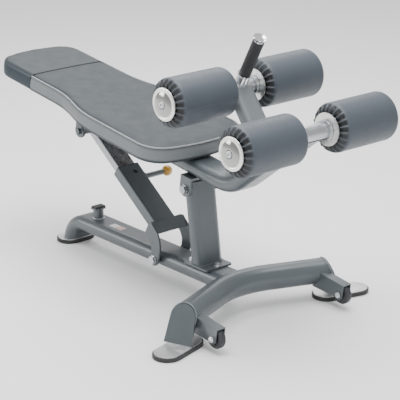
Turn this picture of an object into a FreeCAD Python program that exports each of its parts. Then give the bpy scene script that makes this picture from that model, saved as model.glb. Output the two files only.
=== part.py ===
"""Decline sit-up bench, millimetres, +Z up, +X towards the leg rollers.

The origin is on the floor, midway between the head end of the pad and the front of the lower
rollers, on the bench's middle plane. Each sub-part is written to parts/NODE.step.
"""
import FreeCAD, Part
import math
import os
from FreeCAD import Vector

# ---------------------------------------------------------------- driving dimensions
WALL = 3.0                      # wall of every steel tube
TUBE_WIDE, TUBE_DEEP = 104.0, 50.0      # flat-oval tube of the rail, post and seat frame
SOLE, PLATE = 12.0, 3.0         # rubber sole and steel plate of each foot
FOOT_TOP = SOLE + PLATE

RAIL_Z = 85.0                   # centre height of the main rail and of the cross tube
RAIL_REAR_X, RAIL_CORNER_X = -466.0, -453.0     # foot and corner of the rail's downturned rear end
RAIL_BEND = 80.0
REAR_FOOT_X, REAR_FOOT_LONG = -480.0, 138.0
FOOT_WIDE, PLATE_INSET = 88.0, 4.0

CROSS_R = 40.0                  # cross tube, swept forward to both sides
CROSS_CORNER_X = 330.5
CROSS_SWEEP = math.radians(21.3)
CROSS_BEND = 290.0
CROSS_END_Y = 293.0             # where the tube's centre line meets its end plate
END_PLATE_LEAN = math.radians(22.0)
END_PLATE_T = 6.0
FRONT_FOOT_X, FRONT_FOOT_Y, FRONT_FOOT_LONG = 466.0, 331.0, 192.0
FRONT_FOOT_SWEEP = math.radians(14.7)

HINGE_X, HINGE_Z = 176.5, 357.0     # seat hinge at the top of the post
POST_LEAN = math.radians(7.8)
POST_ABOVE_HINGE = 18.0
BASE_PLATE_LONG, BASE_PLATE_T, BASE_PLATE_SHIFT = 113.0, 6.0, 4.0
HINGE_SLEEVE_R, HINGE_BUSH_R = 19.0, 12.0

STOP_X, STOP_TOP = -346.5, 153.0

WHEEL_X, WHEEL_Y, WHEEL_Z = 547.5, 255.5, 46.0
WHEEL_R, WHEEL_WIDE = 32.0, 24.0
WHEEL_BRACKET_SLOPE = math.radians(7.4)

PAD_FRONT_X, PAD_FRONT_Z = 206.8, 505.9     # top of the pad's front edge, on the middle plane
PAD_ANGLE = math.radians(7.32)              # the head end is this much higher
PAD_LONG, PAD_THICK = 927.0, 54.6
PAD_HALF_WIDE, PAD_HALF_NARROW = 193.0, 148.0
PAD_WIDE_END, PAD_NARROW_START = 320.0, 585.0   # along the pad, from its front edge
HEAD_SEAM = 714.0
BOARD_T, BOARD_INSET = 14.6, 10.0
COVER_T = 2.0
CROSS_PLATE_T = 5.0
FRAME_TAIL = 600.0

UPPER_AXLE_X, UPPER_AXLE_Z = 350.2, 700.3
LOWER_AXLE_X, LOWER_AXLE_Z = 646.1, 626.8
UPPER_INNER_Y, LOWER_INNER_Y = 57.4, 67.1   # inner faces of the rollers
ROLLER_LONG, ROLLER_R = 227.0, 73.0
DISC_R = 48.6
RISE_ANGLE = math.radians(37.6)             # front of the seat frame, up to the lower rollers
FRAME_BEND = 120.0
POST2_WIDE, POST2_DEEP = 84.0, 44.0         # flat-oval post of the upper rollers
SLEEVE_R, SHAFT_R = 23.0, 12.5               # welded axle sleeves and the shafts through them
FRAME_SHORT = 5.0                           # the seat frame stops this far short of the lower axle
RUNNING = 0.05                              # radial clearance of every running fit

HANDLE_LEAN = math.radians(28.5)
GRIP_START, GRIP_END, GRIP_R = 54.0, 174.0, 17.5

STRUT_PIVOT_X, STRUT_PIVOT_Z = 27.0, 85.0
LUG_X, LUG_Z = -341.5, 428.0                # strut's upper pivot, under the pad
STRUT_ANGLE = math.radians(35.8)
OUTER_START, OUTER_END = 186.0, 415.0       # along the strut, from its upper pivot
OUTER_WIDE, OUTER_DEEP = 84.0, 40.0
INNER_END, INNER_WIDE, INNER_DEEP = 242.0, 68.0, 28.0
SLIDE_GAP = 0.25
PIN_AT, PIN_HOLE_STEP, PIN_HOLES = 230.0, 37.0, 5
BRACKET_T = 6.0
HINGE_IN, YOKE_IN, LUG_IN = 56.0, 60.0, 66.0     # inner faces of the three brackets' cheeks
PIVOT_R, STRUT_SLEEVE_R = 8.0, 14.0
LUG_BOLT_R, LUG_HOLE_R = 6.0, 15.5          # the strut's upper bolt and the clearance round it

FRAME_DROP = PAD_THICK + CROSS_PLATE_T + TUBE_DEEP / 2     # pad top to seat frame centre
X, Y, Z = Vector(1, 0, 0), Vector(0, 1, 0), Vector(0, 0, 1)
SIDES = (-1, 1)


# ---------------------------------------------------------------- shape helpers
def save(name, *solids):
    """Write one node: a single solid, or a group of separate solids."""
    shape = solids[0] if len(solids) == 1 else Part.makeCompound(list(solids))
    for solid in shape.Solids:
        if not solid.isValid() or solid.Volume <= 0:
            raise RuntimeError("bad solid in " + name)
    shape.exportStep("parts/" + name + ".step")
    boxes.append(shape.BoundBox)
    volumes[name] = (len(shape.Solids), shape.Volume)


def one(shape):
    """The single solid of a boolean's result."""
    solids = shape.removeSplitter().Solids
    if len(solids) != 1:
        raise RuntimeError("expected one solid, got %d" % len(solids))
    return solids[0]


def box(x, y, z):
    """A box from three (low, high) pairs."""
    return Part.makeBox(x[1] - x[0], y[1] - y[0], z[1] - z[0], Vector(x[0], y[0], z[0]))


def rod(radius, start, end):
    """A round bar between two points."""
    run = end.sub(start)
    return Part.makeCylinder(radius, run.Length, start, run)


def ring(outer, inner, start, end):
    """A round tube between two points."""
    return rod(outer, start, end).cut(rod(inner, start, end))


def cross_rod(radius, x, z, low, high):
    """A round bar across the bench, parallel to Y."""
    return rod(radius, Vector(x, low, z), Vector(x, high, z))


def hexagon(across, start, direction, height):
    """A hexagonal bolt head or nut."""
    corners = [Vector(math.cos(a), math.sin(a), 0).multiply(across / math.sqrt(3))
               for a in [i * math.pi / 3 for i in range(7)]]
    prism = Part.Face(Part.makePolygon(corners)).extrude(Z * height)
    prism.Placement = FreeCAD.Placement(start, FreeCAD.Rotation(Z, direction))
    return prism


def oval_wire(wide, deep, centre, across, up):
    """A flat-oval section: two straight sides and two round ends."""
    flat, r = (wide - deep) / 2, deep / 2

    def at(a, b):
        return centre + across * a + up * b

    return Part.Wire([
        Part.makeLine(at(-flat, -r), at(flat, -r)),
        Part.Arc(at(flat, -r), at(flat + r, 0), at(flat, r)).toShape(),
        Part.makeLine(at(flat, r), at(-flat, r)),
        Part.Arc(at(-flat, r), at(-flat - r, 0), at(-flat, -r)).toShape()])


def sweep(path, section):
    """One solid swept along a planar path of lines and tangent arcs."""
    return path.makePipeShell([section], True, False)


def bent_path(start, corner, end, radius):
    """Line, tangent arc and line through a corner."""
    a, b = (start - corner).normalize(), (end - corner).normalize()
    half = a.getAngle(b) / 2
    back = radius / math.tan(half)
    middle = (a + b).normalize()
    hub = corner + middle * (radius / math.sin(half))
    first, last = corner + a * back, corner + b * back
    return Part.Wire([Part.makeLine(start, first),
                      Part.Arc(first, hub - middle * radius, last).toShape(),
                      Part.makeLine(last, end)])


def oval_tube(path, start, direction, wide=TUBE_WIDE, deep=TUBE_DEEP):
    """Outer solid and inner core of a flat-oval tube that is wide across the bench."""
    up = direction.cross(Y)
    outer = sweep(path, oval_wire(wide, deep, start, Y, up))
    core = sweep(path, oval_wire(wide - 2 * WALL, deep - 2 * WALL, start, Y, up))
    return outer, core


def tilted(shape, origin_x, origin_z, angle):
    """Place a shape made about the origin: turned about Y by angle, then moved."""
    moved = shape.copy()
    turn = FreeCAD.Placement(Vector(origin_x, 0, origin_z), FreeCAD.Rotation(Y, math.degrees(angle)))
    moved.Placement = turn.multiply(moved.Placement)
    return moved


def tilt_point(x, y, z, origin_x, origin_z, angle):
    """The same placement for one point."""
    turn = FreeCAD.Rotation(Y, math.degrees(angle))
    return Vector(origin_x, 0, origin_z) + turn.multVec(Vector(x, y, z))


def on_pad(shape):
    """Pad frame: +X to the front along the pad, +Z out of its top, origin at its front edge."""
    return tilted(shape, PAD_FRONT_X, PAD_FRONT_Z, PAD_ANGLE)


def pad_point(x, y, z):
    return tilt_point(x, y, z, PAD_FRONT_X, PAD_FRONT_Z, PAD_ANGLE)


def on_strut(shape):
    """Strut frame: +X down the strut from its upper pivot, +Z out of its front face."""
    return tilted(shape, LUG_X, LUG_Z, STRUT_ANGLE)


def stadium(centre, half_long, radius, direction, low, high):
    """A flat plate with round ends, its long side along a horizontal direction."""
    wire = oval_wire(2 * half_long, 2 * radius, Vector(centre[0], centre[1], low),
                     direction, direction.cross(Z))
    return Part.Face(wire).extrude(Z * (high - low))


def plate_y(outline, low, high):
    """A flat plate in the XZ plane between two Y values, from a closed wire at y = 0."""
    face = Part.Face(outline)
    face.translate(Y * low)
    return face.extrude(Y * (high - low))


# ---------------------------------------------------------------- base frame
def cross_tube_solids():
    """Outer solid and core of the swept-forward cross tube, longer than its end plates."""
    reach = CROSS_END_Y + 60.0
    ends = [Vector(CROSS_CORNER_X + reach * math.tan(CROSS_SWEEP), s * reach, RAIL_Z) for s in SIDES]
    corner = Vector(CROSS_CORNER_X, 0, RAIL_Z)
    path = bent_path(ends[0], corner, ends[1], CROSS_BEND)
    heading = corner - ends[0]
    solids = []
    for radius in (CROSS_R, CROSS_R - WALL):
        section = Part.Wire(Part.makeCircle(radius, ends[0], heading))
        solids.append(sweep(path, section))
    return solids


def end_plate_axes(side):
    """Outward, in-plane and up directions of an end plate, and the tube end on its inner face."""
    out = Vector(math.sin(CROSS_SWEEP), side * math.cos(CROSS_SWEEP), 0)
    along = Vector(math.cos(CROSS_SWEEP), -side * math.sin(CROSS_SWEEP), 0)
    up = Z * math.cos(END_PLATE_LEAN) - out * math.sin(END_PLATE_LEAN)
    normal = out * math.cos(END_PLATE_LEAN) + Z * math.sin(END_PLATE_LEAN)
    tube_end = Vector(CROSS_CORNER_X + CROSS_END_Y * math.tan(CROSS_SWEEP), side * CROSS_END_Y, RAIL_Z)
    return along, up, normal, tube_end


def end_plate(side):
    """Leaning plate with a round top, welded to the tube's end and standing on the foot."""
    along, up, normal, tube_end = end_plate_axes(side)
    top_r, half_base = CROSS_R + 0.5, 47.0
    drop = (RAIL_Z - FOOT_TOP) / math.cos(END_PLATE_LEAN) + 8.0

    def at(a, b):
        return tube_end + along * a + up * b

    wire = Part.Wire([
        Part.makeLine(at(-half_base, -drop), at(half_base, -drop)),
        Part.makeLine(at(half_base, -drop), at(top_r, 0)),
        Part.Arc(at(top_r, 0), at(0, top_r), at(-top_r, 0)).toShape(),
        Part.makeLine(at(-top_r, 0), at(-half_base, -drop))])
    plate = Part.Face(wire).extrude(normal * END_PLATE_T)
    below = box((0, 900), (-600, 600), (-60, FOOT_TOP))
    return one(plate.cut(below))


def outside_end_plate(side):
    """A block on the outer side of an end plate's inner face."""
    along, up, normal, tube_end = end_plate_axes(side)
    size = 200.0
    corners = [tube_end + along * a + up * b for a, b in
               ((-size, -size), (size, -size), (size, size), (-size, size))]
    return Part.Face(Part.makePolygon(corners + corners[:1])).extrude(normal * size)


def build_rail_and_cross_tube():
    cross_outer, cross_core = cross_tube_solids()
    corner = Vector(RAIL_CORNER_X, 0, RAIL_Z)
    foot = Vector(RAIL_REAR_X, 0, FOOT_TOP)
    rear = foot - (corner - foot).normalize() * 12
    path = bent_path(rear, corner, Vector(CROSS_CORNER_X, 0, RAIL_Z), RAIL_BEND)
    outer, core = oval_tube(path, rear, (corner - rear).normalize())
    below = box((-600, -300), (-100, 100), (-50, FOOT_TOP))
    sleeve = cross_rod(STRUT_SLEEVE_R, STRUT_PIVOT_X, STRUT_PIVOT_Z, -80, 80)
    save("main_rail", one(outer.cut(core).cut(cross_outer).cut(sleeve).cut(below)))

    cross = cross_outer.cut(cross_core)
    for side in SIDES:
        cross = cross.cut(outside_end_plate(side))
    save("cross_tube", one(cross))
    save("end_plates", *[end_plate(side) for side in SIDES])

    half_sleeve = YOKE_IN - 1.0
    save("strut_pivot_sleeve", ring(STRUT_SLEEVE_R, PIVOT_R + RUNNING,
                                    Vector(STRUT_PIVOT_X, -half_sleeve, STRUT_PIVOT_Z),
                                    Vector(STRUT_PIVOT_X, half_sleeve, STRUT_PIVOT_Z)))
    return cross_outer


def build_feet():
    """Three feet: a thin steel plate on a thicker rubber sole."""
    plates, soles = [], []
    places = [((REAR_FOOT_X, 0), REAR_FOOT_LONG, Y)]
    for side in SIDES:
        along = Vector(math.sin(FRONT_FOOT_SWEEP), side * math.cos(FRONT_FOOT_SWEEP), 0)
        places.append(((FRONT_FOOT_X, side * FRONT_FOOT_Y), FRONT_FOOT_LONG, along))
    for centre, long, along in places:
        plates.append(stadium(centre, long / 2 - PLATE_INSET, FOOT_WIDE / 2 - PLATE_INSET, along,
                              SOLE, FOOT_TOP))
        sole = stadium(centre, long / 2, FOOT_WIDE / 2, along, 0, SOLE)
        low_edges = [e for e in sole.Edges if e.BoundBox.ZMax < 0.1]
        soles.append(sole.makeFillet(2.0, low_edges))
    save("foot_plates", *plates)
    save("foot_soles", *soles)


def build_post():
    """Leaning post on a bolted base plate, with the hinge sleeve through its top."""
    plate_top = RAIL_Z + TUBE_DEEP / 2 + BASE_PLATE_T
    rise = HINGE_Z - plate_top
    up = Vector(-math.sin(POST_LEAN), 0, math.cos(POST_LEAN))
    hinge = Vector(HINGE_X, 0, HINGE_Z)
    low = hinge - up * (rise / math.cos(POST_LEAN) + 20.0)
    high = hinge + up * POST_ABOVE_HINGE
    path = Part.Wire([Part.makeLine(low, high)])
    outer, core = oval_tube(path, low, up)
    base_x = HINGE_X + rise * math.tan(POST_LEAN)
    below = box((base_x - 150, base_x + 150), (-100, 100), (plate_top - 80, plate_top))
    sleeve = cross_rod(HINGE_SLEEVE_R, HINGE_X, HINGE_Z, -80, 80)
    save("post", one(outer.cut(core).cut(below).cut(sleeve)))

    centre = base_x + BASE_PLATE_SHIFT
    plate = box((centre - BASE_PLATE_LONG / 2, centre + BASE_PLATE_LONG / 2), (-52, 52),
                (plate_top - BASE_PLATE_T, plate_top))
    plate = plate.makeFillet(8.0, [e for e in plate.Edges if abs(e.tangentAt(e.FirstParameter).z) > 0.9])
    bolts = []
    margin = BASE_PLATE_LONG / 2 - 13
    for dx, y in ((-margin, -25.0), (-margin, 25.0), (margin, 0.0)):
        foot = Vector(centre + dx, y, plate_top - BASE_PLATE_T)
        shank = rod(5.0, foot, foot + Z * (BASE_PLATE_T + 1))
        plate = plate.cut(shank)
        washer = rod(10.0, foot + Z * BASE_PLATE_T, foot + Z * (BASE_PLATE_T + 2))
        head = hexagon(16.0, foot + Z * (BASE_PLATE_T + 2), Z, 6.5)
        bolts.append(one(shank.fuse(washer).fuse(head)))
    save("post_base_plate", one(plate))
    save("post_bolts", *bolts)

    half = HINGE_IN - 2.0
    ends = [Vector(HINGE_X, s * half, HINGE_Z) for s in SIDES]
    save("hinge_sleeve", ring(HINGE_SLEEVE_R, HINGE_BUSH_R, *ends))
    bushes = []
    for side in SIDES:
        start = Vector(HINGE_X, side * (half - 24.0), HINGE_Z)
        face = Vector(HINGE_X, side * half, HINGE_Z)
        flange = rod(HINGE_SLEEVE_R - 1.0, face, face + Y * (side * 1.6))
        bush = rod(HINGE_BUSH_R, start, face).fuse(flange)
        bushes.append(one(bush.cut(cross_rod(PIVOT_R + RUNNING, HINGE_X, HINGE_Z, -80, 80))))
    save("hinge_bushes", *bushes)


def build_stop():
    """Rubber-capped stub on the rail that the seat frame comes down on."""
    rail_top = RAIL_Z + TUBE_DEEP / 2
    cap_t, tray_t, half_long, half_wide = 6.0, 5.0, 22.0, 14.5

    def slab(inset, low, high):
        plate = box((STOP_X - half_wide + inset, STOP_X + half_wide - inset),
                    (-half_long + inset, half_long - inset), (low, high))
        return plate.makeFillet(3.0, [e for e in plate.Edges if abs(e.tangentAt(e.FirstParameter).z) > 0.9])

    stub = ring(17.5, 14.5, Vector(STOP_X, 0, rail_top), Vector(STOP_X, 0, STOP_TOP - cap_t))
    tray = slab(0.0, STOP_TOP - cap_t - tray_t, STOP_TOP - cap_t)
    save("stop_stub", one(stub.fuse(tray)))
    cap = slab(1.0, STOP_TOP - cap_t, STOP_TOP)
    save("stop_cushion", cap.makeFillet(2.0, [e for e in cap.Edges if e.BoundBox.ZMin > STOP_TOP - 0.1]))


def build_label():
    """Blank plate on top of the rail."""
    rail_top = RAIL_Z + TUBE_DEEP / 2
    label = box((-262, -200), (-21, 5), (rail_top, rail_top + 0.6))
    save("rail_label", label)


def build_wheels(cross_outer):
    """Transport wheels in channel brackets that point forward from the cross tube."""
    brackets, bolts = [], []
    inner, outer = WHEEL_WIDE / 2 + 2.0, WHEEL_WIDE / 2 + 4.5
    wall, top, rear, nose = 2.5, 36.0, -112.0, 15.5
    skirt = Part.Wire([
        Part.makeLine(Vector(rear, 0, top), Vector(nose, 0, top)),
        Part.makeLine(Vector(nose, 0, top), Vector(nose, 0, 4)),
        Part.Arc(Vector(nose, 0, 4), Vector(8, 0, -14), Vector(-12, 0, -13)).toShape(),
        Part.makeLine(Vector(-12, 0, -13), Vector(rear, 0, -20)),
        Part.makeLine(Vector(rear, 0, -20), Vector(rear, 0, top))])
    for side in SIDES:
        centre = side * WHEEL_Y
        channel = plate_y(skirt, -outer, outer)
        channel = channel.cut(box((rear - 1, nose + 1), (-inner, inner), (-60, top - wall)))
        channel = tilted(channel, WHEEL_X, WHEEL_Z, WHEEL_BRACKET_SLOPE)
        channel.translate(Y * centre)
        channel = channel.cut(cross_outer)
        channel = max(channel.Solids, key=lambda s: s.BoundBox.XMax)
        channel = channel.cut(cross_rod(5.0, WHEEL_X, WHEEL_Z, centre - 30, centre + 30))
        brackets.append(channel)
        shank = cross_rod(5.0, WHEEL_X, WHEEL_Z, centre - outer, centre + outer)
        near = centre - outer
        head = rod(9.5, Vector(WHEEL_X, near, WHEEL_Z), Vector(WHEEL_X, near - 8, WHEEL_Z))
        head = head.makeFillet(3.5, [e for e in head.Edges if abs(e.BoundBox.YMax - near + 8) < 0.1])
        nut = hexagon(16.0, Vector(WHEEL_X, centre + outer, WHEEL_Z), Y, 7.0)
        bolts.append(one(shank.fuse(head).fuse(nut)))
        name = "left" if side < 0 else "right"
        save_wheel(name, centre)
    save("wheel_brackets", *brackets)
    save("wheel_bolts", *bolts)


def save_wheel(name, centre):
    """Plastic hub with a rubber tyre pressed round it."""
    half, rim, bore = WHEEL_WIDE / 2, 24.0, 5.0 + RUNNING
    profile = Part.Wire(Part.makePolygon([
        Vector(bore, -half, 0), Vector(11, -half, 0), Vector(11, -half + 5, 0), Vector(19, -half + 5, 0),
        Vector(19, -half + 1, 0), Vector(rim, -half + 1, 0), Vector(rim, half - 1, 0),
        Vector(19, half - 1, 0), Vector(19, half - 5, 0), Vector(11, half - 5, 0), Vector(11, half, 0),
        Vector(bore, half, 0), Vector(bore, -half, 0)]))
    hub = Part.Face(profile).revolve(Vector(0, 0, 0), Y, 360)
    crown = Part.Wire([
        Part.makeLine(Vector(rim, -half + 1, 0), Vector(WHEEL_R - 5, -half + 1, 0)),
        Part.Arc(Vector(WHEEL_R - 5, -half + 1, 0), Vector(WHEEL_R - 1.4, -half + 3.5, 0),
                 Vector(WHEEL_R, -half + 7, 0)).toShape(),
        Part.makeLine(Vector(WHEEL_R, -half + 7, 0), Vector(WHEEL_R, half - 7, 0)),
        Part.Arc(Vector(WHEEL_R, half - 7, 0), Vector(WHEEL_R - 1.4, half - 3.5, 0),
                 Vector(WHEEL_R - 5, half - 1, 0)).toShape(),
        Part.makeLine(Vector(WHEEL_R - 5, half - 1, 0), Vector(rim, half - 1, 0)),
        Part.makeLine(Vector(rim, half - 1, 0), Vector(rim, -half + 1, 0))])
    tyre = Part.Face(crown).revolve(Vector(0, 0, 0), Y, 360)
    for part, shape in (("hub", hub), ("tyre", tyre)):
        shape.translate(Vector(WHEEL_X, centre, WHEEL_Z))
        save("wheel_%s_%s" % (name, part), Part.Solid(shape) if shape.ShapeType != "Solid" else shape)


# ---------------------------------------------------------------- seat frame
def pad_outline(inset, low):
    """The pad's plan: wide seat and back, narrow head end, rounded front and head corners."""
    wide, narrow = PAD_HALF_WIDE - inset, PAD_HALF_NARROW - inset
    front, head = -inset, -(PAD_LONG - inset)
    crown = 12.0
    corner_r, head_r = 84.0 - inset, 66.0 - inset

    def at(x, y):
        return Vector(x, y, low)

    def quarter(x, y, sx, sy, r):
        """The middle point of a rounded corner."""
        return at(x + sx * r * math.cos(math.radians(45)), y + sy * r * math.cos(math.radians(45)))

    fx, fy = front - crown - corner_r, wide - corner_r
    hx, hy = head + crown + head_r, narrow - head_r
    turn = math.radians(8.0)        # the front and head edges lean back by this much at the corners
    edges = []
    f_near = at(fx + corner_r * math.cos(turn), -fy - corner_r * math.sin(turn))
    f_far = at(f_near.x, -f_near.y)
    h_near = at(hx - head_r * math.cos(turn), -hy - head_r * math.sin(turn))
    h_far = at(h_near.x, -h_near.y)
    edges.append(Part.Arc(f_near, at(front, 0), f_far).toShape())
    edges.append(Part.Arc(f_far, quarter(fx, fy, 1, 1, corner_r), at(fx, wide)).toShape())
    edges.append(Part.makeLine(at(fx, wide), at(-PAD_WIDE_END, wide)))
    edges.append(waist(at(-PAD_WIDE_END, wide), at(-PAD_NARROW_START, narrow)))
    edges.append(Part.makeLine(at(-PAD_NARROW_START, narrow), at(hx, narrow)))
    edges.append(Part.Arc(at(hx, narrow), quarter(hx, hy, -1, 1, head_r), h_far).toShape())
    edges.append(Part.Arc(h_far, at(head, 0), h_near).toShape())
    edges.append(Part.Arc(h_near, quarter(hx, -hy, -1, -1, head_r), at(hx, -narrow)).toShape())
    edges.append(Part.makeLine(at(hx, -narrow), at(-PAD_NARROW_START, -narrow)))
    edges.append(waist(at(-PAD_NARROW_START, -narrow), at(-PAD_WIDE_END, -wide)))
    edges.append(Part.makeLine(at(-PAD_WIDE_END, -wide), at(fx, -wide)))
    edges.append(Part.Arc(at(fx, -wide), quarter(fx, -fy, 1, -1, corner_r), f_near).toShape())
    return Part.Wire(edges)


def waist(start, end):
    """S-curve between the wide and the narrow part, level with the pad's sides at both ends."""
    pull = Vector((end.x - start.x) * 0.45, 0, 0)
    curve = Part.BezierCurve()
    curve.setPoles([start, start + pull, end - pull, end])
    return curve.toShape()


def pad_block(inset, low, high, round_top, round_low):
    """The pad's outline as a block, with its top and bottom rims rounded."""
    block = Part.Face(pad_outline(inset, low)).extrude(Z * (high - low))
    if round_top:
        block = block.makeFillet(round_top, [e for e in block.Edges if e.BoundBox.ZMin > high - 0.1])
    if round_low:
        block = block.makeFillet(round_low, [e for e in block.Edges if e.BoundBox.ZMax < low + 0.1])
    return block


def build_pad():
    """Cushion round a plywood board, with a separate cover over its head end."""
    whole = pad_block(0, -PAD_THICK, 0, 9.0, 6.0)
    under_cover = pad_block(COVER_T, -PAD_THICK + COVER_T, -COVER_T, 8.0, 5.0)
    board = pad_block(BOARD_INSET, -PAD_THICK, -PAD_THICK + BOARD_T, 0, 0)
    head = box((-PAD_LONG - 50, -HEAD_SEAM), (-300, 300), (-100, 50))
    cushion = whole.cut(head).fuse(under_cover.common(head)).cut(board)
    cover = whole.common(head).cut(under_cover).cut(board)

    plates, screws = [], []
    plate_low, plate_high = -PAD_THICK - CROSS_PLATE_T, -PAD_THICK
    for at in (-130.0, -470.0):
        plate = box((at - 20, at + 20), (-125, 125), (plate_low, plate_high))
        for y in (-105.0, -70.0, 70.0, 105.0):
            foot = Vector(at, y, plate_low)
            shank = rod(4.0, foot - Z * 1, foot + Z * (CROSS_PLATE_T + 10))
            head_disc = rod(8.0, foot - Z * 4, foot)
            screws.append(on_pad(one(shank.fuse(head_disc))))
            plate = plate.cut(shank)
            board = board.cut(shank)
        plates.append(on_pad(one(plate)))
    save("pad_cushion", on_pad(one(cushion)))
    save("head_cover", on_pad(one(cover)))
    save("pad_board", on_pad(one(board)))
    save("pad_cross_plates", *plates)
    save("pad_screws", *screws)


def frame_line():
    """Tail, corner and front end of the seat frame's centre line."""
    tail = pad_point(-FRAME_TAIL, 0, -FRAME_DROP)
    front = Vector(LOWER_AXLE_X, 0, LOWER_AXLE_Z)
    rise = Vector(math.cos(RISE_ANGLE), 0, math.sin(RISE_ANGLE))
    run = Vector(math.cos(PAD_ANGLE), 0, -math.sin(PAD_ANGLE))
    gap = front - tail
    along = (gap.x * rise.z - gap.z * rise.x) / (run.x * rise.z - run.z * rise.x)
    return tail, tail + run * along, front, run, rise


def build_seat_frame():
    """The bent flat-oval tube under the pad, the upper roller post and the roller axles."""
    tail, corner, front, run, rise = frame_line()
    path = bent_path(tail, corner, front - rise * FRAME_SHORT, FRAME_BEND)
    outer, core = oval_tube(path, tail, run)
    lower_sleeve = cross_rod(SLEEVE_R, LOWER_AXLE_X, LOWER_AXLE_Z, -80, 80)
    save("seat_frame_tube", one(outer.cut(core).cut(lower_sleeve)))

    plug_wire = oval_wire(TUBE_WIDE, TUBE_DEEP, tail, Y, run.cross(Y))
    core_wire = oval_wire(TUBE_WIDE - 2 * WALL, TUBE_DEEP - 2 * WALL, tail, Y, run.cross(Y))
    plug = Part.Face(plug_wire).extrude(run * -4.0)
    save("frame_end_plug", one(plug.fuse(Part.Face(core_wire).extrude(run * 12.0))))

    axle = Vector(UPPER_AXLE_X, 0, UPPER_AXLE_Z)
    down = Vector(rise.z, 0, -rise.x)
    upper_sleeve = cross_rod(SLEEVE_R, UPPER_AXLE_X, UPPER_AXLE_Z, -80, 80)
    reach = abs((front - axle).dot(down))
    post_path = Part.Wire([Part.makeLine(axle, axle + down * reach)])
    post_outer, post_core = oval_tube(post_path, axle, down, POST2_WIDE, POST2_DEEP)
    save("roller_post", one(post_outer.cut(post_core).cut(upper_sleeve).cut(outer)))

    collar_r, collar_long = 29.0, 10.0
    sleeves, shafts, bolts, washers = [], [], [], []
    for x, z, inner_y in ((UPPER_AXLE_X, UPPER_AXLE_Z, UPPER_INNER_Y),
                          (LOWER_AXLE_X, LOWER_AXLE_Z, LOWER_INNER_Y)):
        half = inner_y - 1.0
        sleeve = ring(SLEEVE_R, SHAFT_R, Vector(x, -half, z), Vector(x, half, z))
        for side in SIDES:
            tip = Vector(x, side * half, z)
            sleeve = sleeve.fuse(ring(collar_r, SHAFT_R, tip - Y * (side * collar_long), tip))
        sleeves.append(one(sleeve))
        end = inner_y + ROLLER_LONG - 1.6
        shaft = cross_rod(SHAFT_R, x, z, -end, end)
        for side in SIDES:
            face = Vector(x, side * end, z)
            out = Y * side
            shank = rod(5.0, face - out * 22, face + out * 8)
            shaft = shaft.cut(shank)
            washer = ring(17.0, 5.0, face, face + out * 3)
            washers.append(washer)
            head = rod(10.5, face + out * 3, face + out * 11)
            head = head.makeFillet(4.0, [e for e in head.Edges if abs(abs(e.BoundBox.YMin) - end - 11) < 0.1])
            head = head.cut(hexagon(7.0, face + out * 8, out, 4))
            bolts.append(one(shank.fuse(head)))
        shafts.append(shaft)
    save("axle_sleeves", *sleeves)
    save("axle_shafts", *shafts)
    save("roller_bolts", *bolts)
    save("roller_washers", *washers)
    return post_outer


def u_bracket(half_long, web_low, web_high, inside, thick, pivot_r):
    """Web and two round-ended cheeks; the pivot is at the origin and the web above it."""
    outside = inside + thick
    web = box((-half_long, half_long), (-outside, outside), (web_low, web_high))
    profile = Part.Wire([
        Part.makeLine(Vector(-half_long, 0, web_low), Vector(-pivot_r, 0, 0)),
        Part.Arc(Vector(-pivot_r, 0, 0), Vector(0, 0, -pivot_r), Vector(pivot_r, 0, 0)).toShape(),
        Part.makeLine(Vector(pivot_r, 0, 0), Vector(half_long, 0, web_low)),
        Part.makeLine(Vector(half_long, 0, web_low), Vector(-half_long, 0, web_low))])
    bracket = web
    for low in (-outside, inside):
        bracket = bracket.fuse(plate_y(profile, low, low + thick))
    return bracket


def pivot_bolt(x, z, half, radius, washer_r):
    """A bolt across the bench with its head on the -Y side and a nut on the +Y side."""
    shank = cross_rod(radius, x, z, -half, half + 14)
    near = Vector(x, -half, z)
    far = Vector(x, half, z)
    bolt = shank.fuse(rod(washer_r, near, near - Y * 2.5)).fuse(hexagon(radius * 3, near - Y * 2.5, Y * -1, 8))
    nut = hexagon(radius * 3, far + Y * 2.5, Y, 9).fuse(rod(washer_r, far, far + Y * 2.5))
    return one(bolt), one(nut.cut(shank))


def build_brackets():
    """Hinge bracket on the post top and lug bracket for the strut, both under the seat frame."""
    frame_under = -FRAME_DROP - TUBE_DEEP / 2
    to_pad = FreeCAD.Rotation(Y, -math.degrees(PAD_ANGLE))
    for name, x, z, half_long, inside, pivot_r, hole_r in (
            ("hinge_bracket", HINGE_X, HINGE_Z, 23.5, HINGE_IN, 23.5, PIVOT_R),
            ("lug_bracket", LUG_X, LUG_Z, 24.0, LUG_IN, 22.5, LUG_HOLE_R)):
        local = to_pad.multVec(Vector(x - PAD_FRONT_X, 0, z - PAD_FRONT_Z))
        web_high = frame_under - local.z
        bracket = u_bracket(half_long, web_high - BRACKET_T, web_high, inside, BRACKET_T, pivot_r)
        bracket = bracket.cut(cross_rod(hole_r, 0, 0, -100, 100))
        save(name, tilted(one(bracket), x, z, PAD_ANGLE))
    half = HINGE_IN + BRACKET_T
    save("hinge_bolt", *pivot_bolt(HINGE_X, HINGE_Z, half, PIVOT_R, 15.0))


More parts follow.
